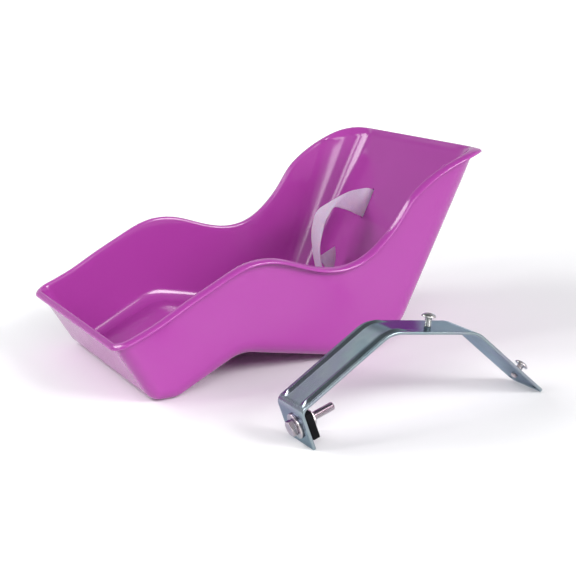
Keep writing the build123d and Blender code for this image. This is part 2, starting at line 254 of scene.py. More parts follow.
def mat_plastic():
    m, nt, b = new_mat("purple_gloss_plastic")
    co = node(nt, "ShaderNodeTexCoord").outputs["Object"]
    n1 = noise(nt, co, 9.0, 3.0, 0.5)
    n2 = noise(nt, co, 60.0, 4.0, 0.55)
    mix = node(nt, "ShaderNodeMix", data_type="RGBA")
    mix.inputs["Factor"].default_value = 0.25
    r1 = ramp(nt, n1.outputs["Fac"], [(0.25, (0.336, 0.041, 0.292)), (0.75, (0.356, 0.046, 0.309))])
    r2 = ramp(nt, n2.outputs["Fac"], [(0.30, (0.338, 0.042, 0.294)), (0.70, (0.354, 0.045, 0.307))])
    nt.links.new(r1.outputs["Color"], mix.inputs[6])
    nt.links.new(r2.outputs["Color"], mix.inputs[7])
    nt.links.new(mix.outputs[2], b.inputs["Base Color"])
    rg = noise(nt, co, 35.0, 5.0, 0.6)
    nt.links.new(maprange(nt, rg.outputs["Fac"], 0.3, 0.7, 0.13, 0.18), b.inputs["Roughness"])
    b.inputs["IOR"].default_value = 1.53
    b.inputs["Subsurface Weight"].default_value = 0.12
    b.inputs["Subsurface Radius"].default_value = (0.9, 0.25, 0.8)
    b.inputs["Subsurface Scale"].default_value = 0.004
    wav = noise(nt, co, 14.0, 1.0, 0.4)
    bump(nt, b, wav.outputs["Fac"], 0.06, 0.0008)
    return m


def mat_zinc(name, tint=1.0, rgb=(1.0, 1.0, 1.0)):
    m, nt, b = new_mat(name)
    tc = node(nt, "ShaderNodeTexCoord").outputs["Object"]
    mp = node(nt, "ShaderNodeMapping")
    mp.inputs["Scale"].default_value = (1.0, 0.25, 1.0)
    nt.links.new(tc, mp.inputs["Vector"])
    n1 = noise(nt, tc, 26.0, 3.0, 0.55)
    shades = [(0.25, (0.27, 0.37, 0.42)), (0.46, (0.36, 0.43, 0.46)), (0.60, (0.37, 0.38, 0.47)), (0.78, (0.42, 0.47, 0.49))]
    r1 = ramp(nt, n1.outputs["Fac"], [(f, tuple(c * k * tint for c, k in zip(col, rgb))) for f, col in shades])
    nt.links.new(r1.outputs["Color"], b.inputs["Base Color"])
    b.inputs["Metallic"].default_value = 1.0
    b.inputs["Specular Tint"].default_value = (0.52, 0.62, 0.72, 1.0)
    n2 = noise(nt, mp.outputs["Vector"], 260.0, 5.0, 0.6)
    n3 = noise(nt, tc, 40.0, 4.0, 0.6)
    add = node(nt, "ShaderNodeMath", operation="ADD")
    nt.links.new(maprange(nt, n2.outputs["Fac"], 0.3, 0.7, 0.05, 0.11), add.inputs[0])
    nt.links.new(maprange(nt, n3.outputs["Fac"], 0.3, 0.7, 0.08, 0.17), add.inputs[1])
    nt.links.new(add.outputs[0], b.inputs["Roughness"])
    p = bump(nt, b, n2.outputs["Fac"], 0.10, 0.00006)
    bump(nt, b, n3.outputs["Fac"], 0.08, 0.0006, p)
    return m


def mat_black():
    m, nt, b = new_mat("black_moulded_plastic")
    tc = node(nt, "ShaderNodeTexCoord").outputs["Object"]
    n1 = noise(nt, tc, 700.0, 4.0, 0.6)
    n2 = noise(nt, tc, 90.0, 3.0, 0.5)
    r1 = ramp(nt, n2.outputs["Fac"], [(0.3, (0.002, 0.002, 0.003)), (0.7, (0.005, 0.005, 0.006))])
    nt.links.new(r1.outputs["Color"], b.inputs["Base Color"])
    nt.links.new(maprange(nt, n1.outputs["Fac"], 0.3, 0.7, 0.42, 0.58), b.inputs["Roughness"])
    b.inputs["Specular IOR Level"].default_value = 0.08
    bump(nt, b, n1.outputs["Fac"], 0.25, 0.0001)
    return m


def mat_webbing():
    m, nt, b = new_mat("white_webbing")
    uv = node(nt, "ShaderNodeTexCoord").outputs["UV"]
    w1 = node(nt, "ShaderNodeTexWave", wave_type="BANDS", bands_direction="X", wave_profile="SIN")
    w1.inputs["Scale"].default_value = 0.62
    w2 = node(nt, "ShaderNodeTexWave", wave_type="BANDS", bands_direction="Y", wave_profile="SIN")
    w2.inputs["Scale"].default_value = 0.42
    nt.links.new(uv, w1.inputs["Vector"])
    nt.links.new(uv, w2.inputs["Vector"])
    mul = node(nt, "ShaderNodeMath", operation="MULTIPLY")
    nt.links.new(w1.outputs["Fac"], mul.inputs[0])
    nt.links.new(w2.outputs["Fac"], mul.inputs[1])
    n1 = noise(nt, uv, 0.25, 3.0, 0.5)
    # the webbing is white, but both ramps are tinted lavender: painted purple bounce light from the seat; the first
    # ramp also runs darker along the weave bands
    r1 = ramp(nt, mul.outputs[0], [(0.0, (0.50, 0.38, 0.52)), (0.6, (0.68, 0.55, 0.70))])
    r2 = ramp(nt, n1.outputs["Fac"], [(0.3, (0.82, 0.76, 0.84)), (0.7, (0.93, 0.90, 0.94))])
    mix = node(nt, "ShaderNodeMix", data_type="RGBA", blend_type="MULTIPLY")
    mix.inputs["Factor"].default_value = 0.6
    nt.links.new(r1.outputs["Color"], mix.inputs[6])
    nt.links.new(r2.outputs["Color"], mix.inputs[7])
    nt.links.new(mix.outputs[2], b.inputs["Base Color"])
    b.inputs["Roughness"].default_value = 0.55
    b.inputs["Sheen Weight"].default_value = 0.25
    b.inputs["Subsurface Weight"].default_value = 0.25
    b.inputs["Subsurface Scale"].default_value = 0.003
    bump(nt, b, mul.outputs[0], 0.35, 0.00018)
    return m


M_PLASTIC = mat_plastic()
M_ZINC = mat_zinc("zinc_plate_strip", 0.85)
M_BOLT = mat_zinc("zinc_plate_fasteners", 1.15, (1.5, 1.2, 1.08))
M_BLACK = mat_black()
M_WEB = mat_webbing()


# ------------------------------------------------------------------ seat shell
def fillet_chain(corners, radii):
    """points and inward normals along a filleted polyline, with segment marks"""
    c = [np.array(p, float) for p in corners]
    segs = []
    start = c[0]
    for k in range(1, len(c) - 1):
        d0, d1 = unit(c[k] - c[k - 1]), unit(c[k + 1] - c[k])
        cr = d0[0] * d1[1] - d0[1] * d1[0]
        ang = math.atan2(abs(cr), float(d0 @ d1))
        tl = radii[k - 1] * math.tan(ang / 2)
        a, b = c[k] - d0 * tl, c[k] + d1 * tl
        segs.append(("line", start, a, d0))
        sgn = 1.0 if cr > 0 else -1.0
        n0 = np.array([-d0[1], d0[0]]) * sgn
        segs.append(("arc", a + n0 * radii[k - 1], radii[k - 1], n0, ang, sgn))
        start = b
    segs.append(("line", start, c[-1], unit(c[-1] - start)))
    return segs


def sample_seg(s, f):
    """point and inward normal (left of travel) at fraction f of a segment"""
    if s[0] == "line":
        p = s[1] + (s[2] - s[1]) * f
        return p, np.array([-s[3][1], s[3][0]])
    _, cen, r, n0, ang, sgn = s
    a = ang * f * sgn
    ca, sa = math.cos(a), math.sin(a)
    v = -n0
    v = np.array([v[0] * ca - v[1] * sa, v[0] * sa + v[1] * ca])
    return cen + v * r, -v * sgn


front_d = unit(np.array(P_FRONT) - np.array(P_TOE))
back_d = unit(np.array(P_TOP) - np.array(P_BACK))
SEGS = fillet_chain([np.array(P_FRONT) + front_d * 30, P_TOE, P_HEEL, P_KNEE, P_BACK,
                     np.array(P_TOP) + back_d * 30], [R_TOE, R_HEEL, R_KNEE, R_BACK])
SAMPLES = [16, 10, 3, 7, 9, 9, 16, 16, 26]
# side corner radius at the start and end of each segment
CORNER_R = [(11, 9.5), (9.5, 9.5), (9.5, 10), (10, 11), (11, 13), (13, 13), (13, 14), (14, 19), (19, 24)]

INNER_R = [(0, 0)] * 7 + [(0, 4), (4, 8)]

_rim_low = np.array([(RIM[0][0] - 30, RIM[0][1] - 11.0)] + RIM + [(RIM[-1][0] + 16, RIM[-1][1] - 7.5)])
_rs = spline(_rim_low, 24)
_t = np.gradient(_rs, axis=0)
_t /= np.linalg.norm(_t, axis=1)[:, None]
RIM_TOP = np.stack([_rs[:, 0] - _t[:, 1] * LIP_H, _rs[:, 1] + _t[:, 0] * LIP_H], 1)


def rim_z(x, level=0.0):
    z = np.interp(x, RIM_TOP[:, 0], RIM_TOP[:, 1])
    if level:
        s = (np.interp(x + 0.5, RIM_TOP[:, 0], RIM_TOP[:, 1]) - np.interp(x - 0.5, RIM_TOP[:, 0], RIM_TOP[:, 1]))
        z = z + level * math.sqrt(1 + s * s)
    return float(z)


def rim_dir(x):
    s = (np.interp(x + 0.5, RIM_TOP[:, 0], RIM_TOP[:, 1]) - np.interp(x - 0.5, RIM_TOP[:, 0], RIM_TOP[:, 1]))
    return unit([1.0, s])


N_C, N_F, N_S = 14, 9, 12


def half_width(x, z, inset):
    return SIDE_0 + SIDE_X * x + SIDE_Z * z - inset * 1.0014


def end_fraction(seg, inset, level, at_start):
    """fraction of the end segment where the skin meets the rim curve"""
    lo, hi = 0.0, 1.0
    for _ in range(50):
        mid = (lo + hi) / 2
        p, n = sample_seg(seg, mid)
        q = p + n * inset
        above = q[1] > rim_z(q[0], level)
        if at_start:
            lo, hi = (mid, hi) if above else (lo, mid)
        else:
            lo, hi = (lo, mid) if above else (mid, hi)
    return (lo + hi) / 2


def skin(inset, level, soft=False):
    """rows of points across one skin of the seat, from the front rim to the back rim"""
    f0 = end_fraction(SEGS[0], inset, level, True)
    f1 = end_fraction(SEGS[-1], inset, level, False)
    rows = []
    total = sum(SAMPLES)
    for si, (sg, cnt) in enumerate(zip(SEGS, SAMPLES)):
        a, b = (f0 if si == 0 else 0.0), (f1 if si == len(SEGS) - 1 else 1.0)
        last = si == len(SEGS) - 1
        for k in range(cnt + (1 if last else 0)):
            f = k / cnt
            p, n = sample_seg(sg, a + (b - a) * f)
            r = CORNER_R[si][0] + (CORNER_R[si][1] - CORNER_R[si][0]) * f
            # the inside of the back's corners is rounder than the outside
            if soft:
                r += INNER_R[si][0] + (INNER_R[si][1] - INNER_R[si][0]) * f
            rows.append((p + n * inset, n, r - inset))
    out = []
    x0, x1 = rows[0][0][0], rows[-1][0][0]
    d_front, d_back = rim_dir(x0 + 4), -rim_dir(x1 - 8)
    for i, (p, n, r) in enumerate(rows):
        w0 = max(0.0, 1 - np.linalg.norm(p - rows[0][0]) / 16.0)
        w1 = max(0.0, 1 - np.linalg.norm(p - rows[-1][0]) / 26.0)
        w0, w1 = w0 * w0 * (3 - 2 * w0), w1 * w1 * (3 - 2 * w1)
        ne = unit(n * (1 - w0 - w1) + d_front * w0 + d_back * w1)
        k = 1.0 / max(0.5, float(ne @ n))
        end = i in (0, len(rows) - 1)
        half = []
        ye = half_width(*(p + ne * r * k), inset)
        for c in range(N_C):
            half.append((p[0], (ye - r) * c / N_C, p[1]))
        for c in range(N_F + 1):
            a = (math.pi / 2) * c / N_F
            q = p + ne * (r * k * (1 - math.cos(a)))
            hy = half_width(q[0], q[1], inset)
            y = (ye - r) + r * math.sin(a) + (hy - ye) * (c / N_F) ** 2
            half.append((q[0], y, rim_z(q[0], level) if end else q[1]))
        e = half[-1]
        zt = rim_z(e[0], level)
        for c in range(1, N_S + 1):
            f = c / N_S
            z = e[2] + (zt - e[2]) * f
            half.append((e[0], half_width(e[0], z, inset), z))
        full = [(x, -y, z) for x, y, z in half[:0:-1]] + half
        out.append(full)
    return np.array(out)


def rim_loop(n_rows, n_cols):
    """ordered (row, column) of the skin's open edge, once round"""
    mid = n_cols // 2
    e_plus, e_minus = mid + N_C + N_F, mid - N_C - N_F
    loop = [(0, c) for c in range(e_minus, e_plus + 1)]
    loop += [(r, n_cols - 1) for r in range(1, n_rows - 1)]
    loop += [(n_rows - 1, c) for c in range(e_plus, e_minus - 1, -1)]
    loop += [(r, 0) for r in range(n_rows - 2, 0, -1)]
    return loop


def build_shell():
    out_s, in_s = skin(0.0, -3.1), skin(WALL, -2.4, True)
    w_top, v_top, s_top = skin(0.0, 0.0), skin(WALL, 0.0), skin(WALL, 0.0, True)
    nr, nc = out_s.shape[:2]
    verts = [tuple(v) for row in out_s for v in row] + [tuple(v) for row in in_s for v in row]
    faces = []
    off = nr * nc
    for r in range(nr - 1):
        for c in range(nc - 1):
            a, b, d, e = r * nc + c, r * nc + c + 1, (r + 1) * nc + c + 1, (r + 1) * nc + c
            faces.append((a, b, d, e))
            faces.append((off + a, off + e, off + d, off + b))
    loop = rim_loop(nr, nc)
    W = np.array([w_top[i] for i in loop])
    V = np.array([v_top[i] for i in loop])
    S = np.array([s_top[i] for i in loop])
    n = len(loop)
    T = np.roll(W, -1, 0) - np.roll(W, 1, 0)
    T /= np.linalg.norm(T, axis=1)[:, None]
    O = W - V
    O -= T * (O * T).sum(1)[:, None]
    O /= np.linalg.norm(O, axis=1)[:, None]
    U = np.cross(O, T)
    U *= np.sign(U[:, 2])[:, None]
    thick = np.clip(((W - S) * O).sum(1) / WALL, 1.0, 2.4)
    for _ in range(6):
        thick = (np.roll(thick, 1) + thick + np.roll(thick, -1)) / 3
    rings = []
    h = LIP_H
    for i in range(n):
        ox, oy = O[i][0], O[i][1]
        wide = 5.6 * abs(oy) ** 1.5 + (3.5 if ox < 0 else 5.8) * (1 - abs(oy) ** 1.5)
        prof = [(0.15, -2.9), (0.6, -2.6), (wide - 2.3, -2.75), (wide - 1.8, -2.9), (wide - 1.6, -h + 0.4),
                (wide - 1.4, -h + 0.08), (wide - 0.95, -h), (wide - 0.4, -h + 0.12), (wide - 0.12, -h + 0.45),
                (wide, -h + 0.85), (wide - 0.03, -2.25), (wide - 0.20, -1.85), (wide - 0.52, -1.42), (wide - 1.0, -1.05),
                (wide - 1.7, -0.74), (wide * 0.5 + 0.1, -0.50), (wide * 0.25, -0.20), (0.25, -0.03), (-0.35, 0.0),
                (-0.95, -0.10), (-1.5, -0.42), (-1.92, -0.98), (-2.12, -1.6)]
        base = len(verts)
        for a, b in prof:
            if a < 0:
                a *= thick[i]
            verts.append(tuple(W[i] + O[i] * a + U[i] * b))
        r, c = loop[i]
        rings.append([r * nc + c] + [base + k for k in range(len(prof))] + [off + r * nc + c])
    for i in range(n):
        A, B = rings[i], rings[(i + 1) % n]
        for k in range(len(A) - 1):
            faces.append((A[k], B[k], B[k + 1], A[k + 1]))
    ob = make("seat_tub", verts, faces, sharp=50, merge=0.004)
    return ob


seat = build_shell()
cutters = []
for sy in (SLOT_Y, -SLOT_Y):
    cutters.append(prism("c", slot_outline(SLOT_L, SLOT_W), SLOT_C + np.array([0, sy, 0]), (0, 1, 0), BACK_DIR, -8, 8))
for s, d in ((29.5, unit(np.array(P_HEEL) - np.array(P_KNEE))), (59.0, unit(np.array(P_BACK) - np.array(P_KNEE)))):
    q = np.array(P_KNEE) + d * s
    nrm = np.array([-d[1], d[0]]) if d[0] > 0 else np.array([d[1], -d[0]])
    xd = np.array([0, 1.0, 0])
    zd = np.array([nrm[0], 0, nrm[1]])
    cutters.append(prism("c", circle(2.75), np.array([q[0], 0, q[1]]), xd, np.cross(zd, xd), -6, 6))
cut(seat, cutters, 50)
seat.data.materials.clear()
seat.data.materials.append(M_PLASTIC)
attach(seat, "seat")
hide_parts("seat_shell")

# ------------------------------------------------------------------ strap
RUN_A = [(227.9, 27.8, 86.2), (217.8, 25.8, 91.0), (209.6, 21.6, 94.2), (202.6, 15.6, 94.4),
         (197.9, 12.2, 91.6), (194.6, 12.2, 87.2), (192.3, 12.4, 82.0), (187.3, 9.6, 72.5),
         (183.2, 5.4, 63.6), (182.6, 2.8, 52.0), (184.6, 1.6, 42.5), (189.4, 2.4, 36.0),
         (194.0, 5.4, 36.5), (193.0, 11.5, 43.5), (189.4, 20.5, 54.4)]
RUN_B = [(244.2, 36.8, 103.0), (235.6, 39.4, 102.1), (227.0, 38.4, 100.6), (217.4, 36.4, 98.2),
         (208.2, 35.2, 95.2), (201.0, 36.0, 91.6), (196.8, 37.0, 85.8), (191.4, 34.1, 72.9),
         (189.0, 29.6, 60.6), (188.6, 26.2, 48.6), (191.4, 24.8, 38.6), (197.8, 25.6, 34.6),
         (204.6, 27.8, 38.0), (209.5, 29.0, 47.0), (211.6, 32.0, 58.1)]


def strap_rails():
    """two edge rails: near end, near slot, round the back, far slot, free run"""
    zo, zi = -(WALL + 0.4 + 0.6), 1.0
    c = [(-76, zi + 2.4), (-66, zi + 0.9), (-56, zi), (-46, zi), (-37, zi), (-33.0, zi - 0.1), (-31.0, zi - 0.9), (-30.6, -0.9),
         (-30.2, zo + 0.9), (-28.6, zo + 0.1), (-24, zo), (-12, zo - 0.3), (0, zo - 0.4), (12, zo - 0.3), (24, zo), (28.6, zo + 0.1),
         (30.2, zo + 0.9), (30.6, -0.9), (30.6, 2.5)]
    A, B = [], []
    for y, z in c:
        p = SLOT_C + np.array([0, y, 0]) + BACK_N * z
        A.append(p - BACK_DIR * STRAP_W / 2)
        B.append(p + BACK_DIR * STRAP_W / 2)
    A += [np.array(p) for p in RUN_A]
    B += [np.array(p) for p in RUN_B]
    return np.array(A), np.array(B)


def build_strap():
    A, B = strap_rails()
    both = spline(np.hstack([A, B]), 8)
    A, B = both[:, :3], both[:, 3:]
    mid = (A + B) / 2
    wd = B - A
    wd /= np.linalg.norm(wd, axis=1)[:, None]
    A, B = mid - wd * STRAP_W / 2, mid + wd * STRAP_W / 2
    n = len(mid)
    tg = np.gradient(mid, axis=0)
    tg -= wd * (tg * wd).sum(1)[:, None]
    tg /= np.linalg.norm(tg, axis=1)[:, None]
    nm = np.cross(tg, wd)
    s = np.concatenate([[0], np.cumsum(np.linalg.norm(np.diff(mid, axis=0), axis=1))])
    cols = 20
    th = 1.05
    verts, uvs, faces = [], [], []
    ring = []
    for c in range(cols + 1):
        f = c / cols
        edge = min(f, 1 - f) * STRAP_W
        t = th / 2 * (0.62 + 0.38 * min(1, edge / 0.9)) + (0.10 if 1.2 < edge < 2.2 else 0.0)
        ring.append((f - 0.5, t))
    prof = [(f, t) for f, t in ring] + [(f, -t) for f, t in ring[::-1]]
    m = len(prof)
    for i in range(n):
        for f, t in prof:
            verts.append(mid[i] + wd[i] * f * STRAP_W + nm[i] * t)
            uvs.append(((f + 0.5) * STRAP_W, s[i]))
    for i in range(n - 1):
        for k in range(m):
            a, b = i * m + k, i * m + (k + 1) % m
            faces.append((a, b, b + m, a + m))
    faces.append(tuple(range(m))[::-1])
    faces.append(tuple(range((n - 1) * m, n * m)))
    ob = make("waist_webbing", verts, faces, sharp=60, uvs=uvs)
    return ob, float(s[-1])


strap, strap_len = build_strap()
strap.data.materials.append(M_WEB)
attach(strap, "seat")
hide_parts("waist_strap")


# ------------------------------------------------------------------ bracket
def bseg(i):
    a, b = np.array(BR_PTS[i]), np.array(BR_PTS[i + 1])
    d = unit(b - a)
    return a, d, np.array([-d[1], d[0]])


def bworld(u, v, z):
    return BR_O + EX * u + EY * v + EZ * z


def bplate(i, s, v, off=0.0):
    a, d, n = bseg(i)
    q = a + d * s + n * off
    return bworld(q[0], v, q[1]), EX * d[0] + EZ * d[1], EX * n[0] + EZ * n[1]


def build_bracket():
    segs = fillet_chain([np.array(p) for p in BR_PTS], BR_RAD)
    st = []
    run = 0.0
    for si, sg in enumerate(segs):
        ln = np.linalg.norm(sg[2] - sg[1]) if sg[0] == "line" else sg[2] * sg[4]
        step = 1.2
        cnt = max(2, int(ln / step))
        for k in range(cnt + (1 if si == len(segs) - 1 else 0)):
            p, n = sample_seg(sg, k / cnt)
            st.append((p, n, run + ln * k / cnt, si))
        run += ln
    total = run
    # travel goes foot to end; outward is to the left of travel
    leg0 = next(s for _, _, s, si in st if si == 2)
    leg1 = next(s for _, _, s, si in st if si == 4)
    vs = np.concatenate([np.linspace(-17.15, -8.2, 21), np.linspace(-7.4, 7.4, 14), np.linspace(8.2, 17.15, 21)])

    def rib(s, v):
        a = (s - (leg0 - 1.0)) / 5.0
        b = ((leg1 + 12.0) - s) / 16.0
        e = max(0.0, min(1.0, a)) * 1.0
        e = e * e * (3 - 2 * e)
        g = max(0.0, min(1.0, b))
        g = g * g * (3 - 2 * g)
        x = abs(abs(v) - 12.6) / 3.3
        hgt = (math.cos(math.pi * min(1.0, x)) * 0.5 + 0.5) * 1.35
        return hgt * e * g

    verts, faces = [], []
    m = None
    r_end = 4.5
    for p, n, s, si in st:
        vmax = 17.5
        left = total - s
        if left < r_end:
            vmax = 17.5 - (r_end - math.sqrt(max(0.0, r_end ** 2 - (r_end - left) ** 2)))
        vmin = -17.5
        if left < 1.2:
            vmin = -17.5 + (1.2 - math.sqrt(max(0.0, 1.2 ** 2 - (1.2 - left) ** 2)))
        ring = []
        k = 0.35
        for v in vs:
            ring.append((v, rib(s, v)))
        ring += [(17.36, -0.12), (17.5, -k), (17.5, -BR_T + k), (17.36, -BR_T + 0.12)]
        for v in vs[::-1]:
            ring.append((v, rib(s, v) - BR_T))
        ring += [(-17.36, -BR_T + 0.12), (-17.5, -BR_T + k), (-17.5, -k), (-17.36, -0.12)]
        m = len(ring)
        for v, o in ring:
            vv = (v + 17.5) / 35.0 * (vmax - vmin) + vmin
            q = p + n * o
            verts.append(bworld(q[0], vv, q[1]))
    rows = len(st)
    for i in range(rows - 1):
        for k in range(m):
            a, b = i * m + k, i * m + (k + 1) % m
            faces.append((a, b, b + m, a + m))
    # end caps as strips between the top and the bottom skin
    top = len(vs)
    for base in (0, (rows - 1) * m):
        for k in range(top - 1):
            a, b = base + k, base + k + 1
            c, d = base + (2 * top + 3) - k - 0, base + (2 * top + 3) - (k + 1)
            faces.append((a, b, d, c))
        # little strips at the two edges
        faces.append((base + top - 1, base + top, base + top + 1, base + top + 2, base + top + 3, base + top + 4))
        faces.append((base + m - 5, base + m - 4, base + m - 3, base + m - 2, base + m - 1, base))
    ob = make("bent_strip", verts, faces, sharp=32, merge=0.002)
    return ob


bracket = build_bracket()
cutters = []
for i, s, v, r in ((0, BOLT_S, BOLT_V, 3.2), (2, TOP_S, 0, 2.55), (3, END_S, 0, 2.55),
                   (3, CORNER_S, CORNER_V, 1.5), (3, CORNER_S, -CORNER_V, 1.5)):
    o, xd, zd = bplate(i, s, v)
    cutters.append(prism("c", circle(r, 40), o, xd, np.cross(zd, xd), -5, 5))
cut(bracket, cutters, 32)
bracket.data.materials.clear()
bracket.data.materials.append(M_ZINC)
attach(bracket, "bracket")
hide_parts("mounting_bracket")


# ------------------------------------------------------------------ fasteners
def place(ob, origin, xd, zd):
    xd, zd = unit(xd), unit(zd)
    yd = np.cross(zd, xd)
    m = Matrix(((xd[0], yd[0], zd[0], origin[0] * MM), (xd[1], yd[1], zd[1], origin[1] * MM),
                (xd[2], yd[2], zd[2], origin[2] * MM), (0, 0, 0, 1)))
    ob.data.transform(m)
    return ob


def grid_faces(rows, cols, closed=True):
    f = []
    for i in range(rows - 1):
        for k in range(cols if closed else cols - 1):
            a, b = i * cols + k, i * cols + (k + 1) % cols
            f.append((a, b, b + cols, a + cols))
    return f


def thread(z0, z1, r_out, r_in, pitch, n=40, per=8):
    """verts and faces of a threaded shank from z0 down to z1, open at the top, closed at the tip"""
    rows = int(abs(z1 - z0) / pitch * per)
    verts = []
    for i in range(rows + 1):
        z = z0 + (z1 - z0) * i / rows
        for k in range(n):
            a = 2 * math.pi * k / n
            ph = (z / pitch - k / n) % 1.0
            t = abs(ph * 2 - 1)
            t = min(1.0, max(0.0, (t - 0.08) / 0.80))
            r = r_in + (r_out - r_in) * t
            end = abs(z - z1)
            if end < 0.9:
                r = min(r, r_out - (0.9 - end) * 0.9)
            start = abs(z - z0)
            if start < 0.6:
                r = r_out * 0.97 * (1 - start / 0.6) + r * (start / 0.6)
            verts.append((r * math.cos(a), r * math.sin(a), z))
    faces = grid_faces(rows + 1, n)
    faces.append(tuple(range(rows * n, rows * n + n)))
    return verts, faces, n


def lathe(prof, n=64):
    verts = [(r * math.cos(2 * math.pi * k / n), r * math.sin(2 * math.pi * k / n), z) for r, z in prof for k in range(n)]
    return verts, grid_faces(len(prof), n), n


def merge_parts(parts):
    verts, faces = [], []
    for v, f in parts:
        o = len(verts)
        verts += v
        faces += [tuple(i + o for i in q) for q in f]
    return verts, faces


def hex_ring(af, n=96):
    out = []
    for k in range(n):
        a = 2 * math.pi * k / n
        b = (a + math.pi / 6) % (math.pi / 3) - math.pi / 6
        out.append((a, (af / 2) / math.cos(b)))
    return out


def build_screw(name):
    """low domed head, cross recess, threaded shank; head seat at z 0"""
    prof = [(2.38, 0.0), (4.2, 0.0), (4.75, 0.05), (4.97, 0.25), (5.0, 0.5), (4.93, 0.75), (4.7, 1.08), (4.3, 1.45),
            (3.7, 1.83), (3.0, 2.13), (2.2, 2.37), (1.4, 2.52), (0.7, 2.59), (0.25, 2.6)]
    v, f, n = lathe(prof)
    last = (len(prof) - 1) * n
    f.append(tuple(range(last, last + n)))
    tv, tf, tn = thread(0.0, -10.0, 2.45, 2.06, 0.8)
    hv, hf = v, f
    # close the head underside inside the shank
    hf = hf + [tuple(range(n))[::-1]]
    head = make(name + "_head", hv, hf, sharp=35)
    arms = []
    for rot in (0.0, math.pi / 2):
        c, s = math.cos(rot), math.sin(rot)
        w0, l0, w1, l1 = 0.62, 2.7, 0.42, 1.3
        top = [(-l0, -w0), (l0, -w0), (l0, w0), (-l0, w0)]
        bot = [(-l1, -w1), (l1, -w1), (l1, w1), (-l1, w1)]
        vs = [(x * c - y * s, x * s + y * c, 3.0) for x, y in top] + [(x * c - y * s, x * s + y * c, 0.9) for x, y in bot]
        fs = [(0, 1, 2, 3), (7, 6, 5, 4), (0, 4, 5, 1), (1, 5, 6, 2), (2, 6, 7, 3), (3, 7, 4, 0)]
        arms.append(make("c", vs, fs, sharp=30))
    cut(head, arms, 30)
    bm = bmesh.new()
    bm.from_mesh(head.data)
    me = bpy.data.meshes.new("t")
    tf2 = tf + [tuple(range(tn))[::-1]]
    me.from_pydata([tuple(c * MM for c in q) for q in tv], [], tf2)
    b2 = bmesh.new()
    b2.from_mesh(me)
    bmesh.ops.recalc_face_normals(b2, faces=b2.faces)
    finish_bm(b2, 60)
    b2.to_mesh(me)
    b2.free()
    bm.from_mesh(me)
    bm.to_mesh(head.data)
    bm.free()
    bpy.data.meshes.remove(me)
    head.name = name
    return head


for nm, body, i, s, turn in (("seat_screw_upper", "screw_top", 2, TOP_S, 0.35), ("seat_screw_lower", "screw_end", 3, END_S, 0.9)):
    ob = build_screw(nm)
    o, xd, zd = bplate(i, s, 0, SCREW_UP)
    yd = np.cross(zd, xd)
    place(ob, o, xd * math.cos(turn) + yd * math.sin(turn), zd)
    ob.data.materials.clear()
    ob.data.materials.append(M_BOLT)
    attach(ob, body)
    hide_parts("seat_screw_top" if body == "screw_top" else "seat_screw_end")


def build_bolt():
    """hex head above z 0, washer face, threaded shank below"""
    ring = hex_ring(10.0)
    n = len(ring)
    H = 4.0
    rows = [[(2.9, 0.0)] * n, [(4.5, 0.0)] * n, [(4.55, 0.25)] * n,
            [(r, 0.25 + max(0.0, (r - 4.75) * 0.35)) for _, r in ring],
            [(r, H - max(0.0, (r - 4.75)) * 0.62) for _, r in ring],
            [(4.72, H)] * n, [(4.3, H + 0.02)] * n, [(3.9, H - 0.12)] * n, [(1.5, H - 0.18)] * n, [(0.3, H - 0.18)] * n]
    v = []
    for row in rows:
        for (a, _), (r, z) in zip(ring, row):
            v.append((r * math.cos(a), r * math.sin(a), z))
    f = grid_faces(len(rows), n)
    f.append(tuple(range((len(rows) - 1) * n, len(rows) * n)))
    f.append(tuple(range(n))[::-1])
    tv, tf, tn = thread(0.0, -30.0, 2.95, 2.48, 1.0)
    tf = tf + [tuple(range(tn))[::-1]]
    V, F = merge_parts([(v, f), (tv, tf)])
    return make("clamp_hex_bolt", V, F, sharp=38)


o, xd, zd = bplate(0, BOLT_S, BOLT_V, 0.05 + 1.6)
yd = np.cross(zd, xd)
bolt = build_bolt()
t = 0.22
place(bolt, o, xd * math.cos(t) + yd * math.sin(t), zd)
bolt.data.materials.append(M_BOLT)
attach(bolt, "bolt")
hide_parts("clamp_bolt")


def build_washer():
    R, r, T = 9.0, 3.2, 1.6
    prof = [(r, 0.25), (r + 0.2, 0.05), (r + 0.45, 0.0), (R - 0.5, 0.0), (R - 0.15, 0.12), (R, 0.45), (R, T - 0.5),
            (R - 0.15, T - 0.15), (R - 0.55, T), (r + 0.35, T), (r + 0.08, T - 0.1), (r, T - 0.35)]
    v, f, n = lathe(prof, 96)
    k = len(prof)
    f += [((k - 1) * n + j, (k - 1) * n + (j + 1) % n, (j + 1) % n, j) for j in range(n)]
    return make("clamp_flat_washer", v, f, sharp=40)


o, xd, zd = bplate(0, BOLT_S, BOLT_V, 0.05)
washer = place(build_washer(), o, xd, zd)
washer.data.materials.append(M_BOLT)
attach(washer, "bolt")
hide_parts("clamp_washer")


def build_block():
    """rounded bar, bevelled all round; its bolt hole is cut afterwards"""
    L, H, T, b = 35.0, 18.6, 5.2, 0.7
    bm = bmesh.new()
    bmesh.ops.create_cube(bm, size=1.0)
    for v in bm.verts:
        v.co = Vector((v.co.x * H, v.co.y * L, v.co.z * T)) * MM
    bmesh.ops.bevel(bm, geom=list(bm.edges), offset=b * MM, segments=4, profile=0.5, affect="EDGES")
    me = bpy.data.meshes.new("clamp_bar")
    finish_bm(bm, 40)
    bm.to_mesh(me)
    bm.free()
    ob = bpy.data.objects.new("clamp_bar", me)
    COLL.objects.link(ob)
    return ob


o, xd, zd = bplate(0, BOLT_S + 2.0, 0, -(BR_T + 0.2) - 2.6)
block = place(build_block(), o, xd, zd)
oh, xh, zh = bplate(0, BOLT_S, BOLT_V, -(BR_T + 0.2) - 2.6)
cut(block, [prism("c", circle(3.3, 40), oh, xh, np.cross(zh, xh), -6, 6)], 38)
block.data.materials.clear()
block.data.materials.append(M_BLACK)
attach(block, "block")
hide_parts("clamp_block")


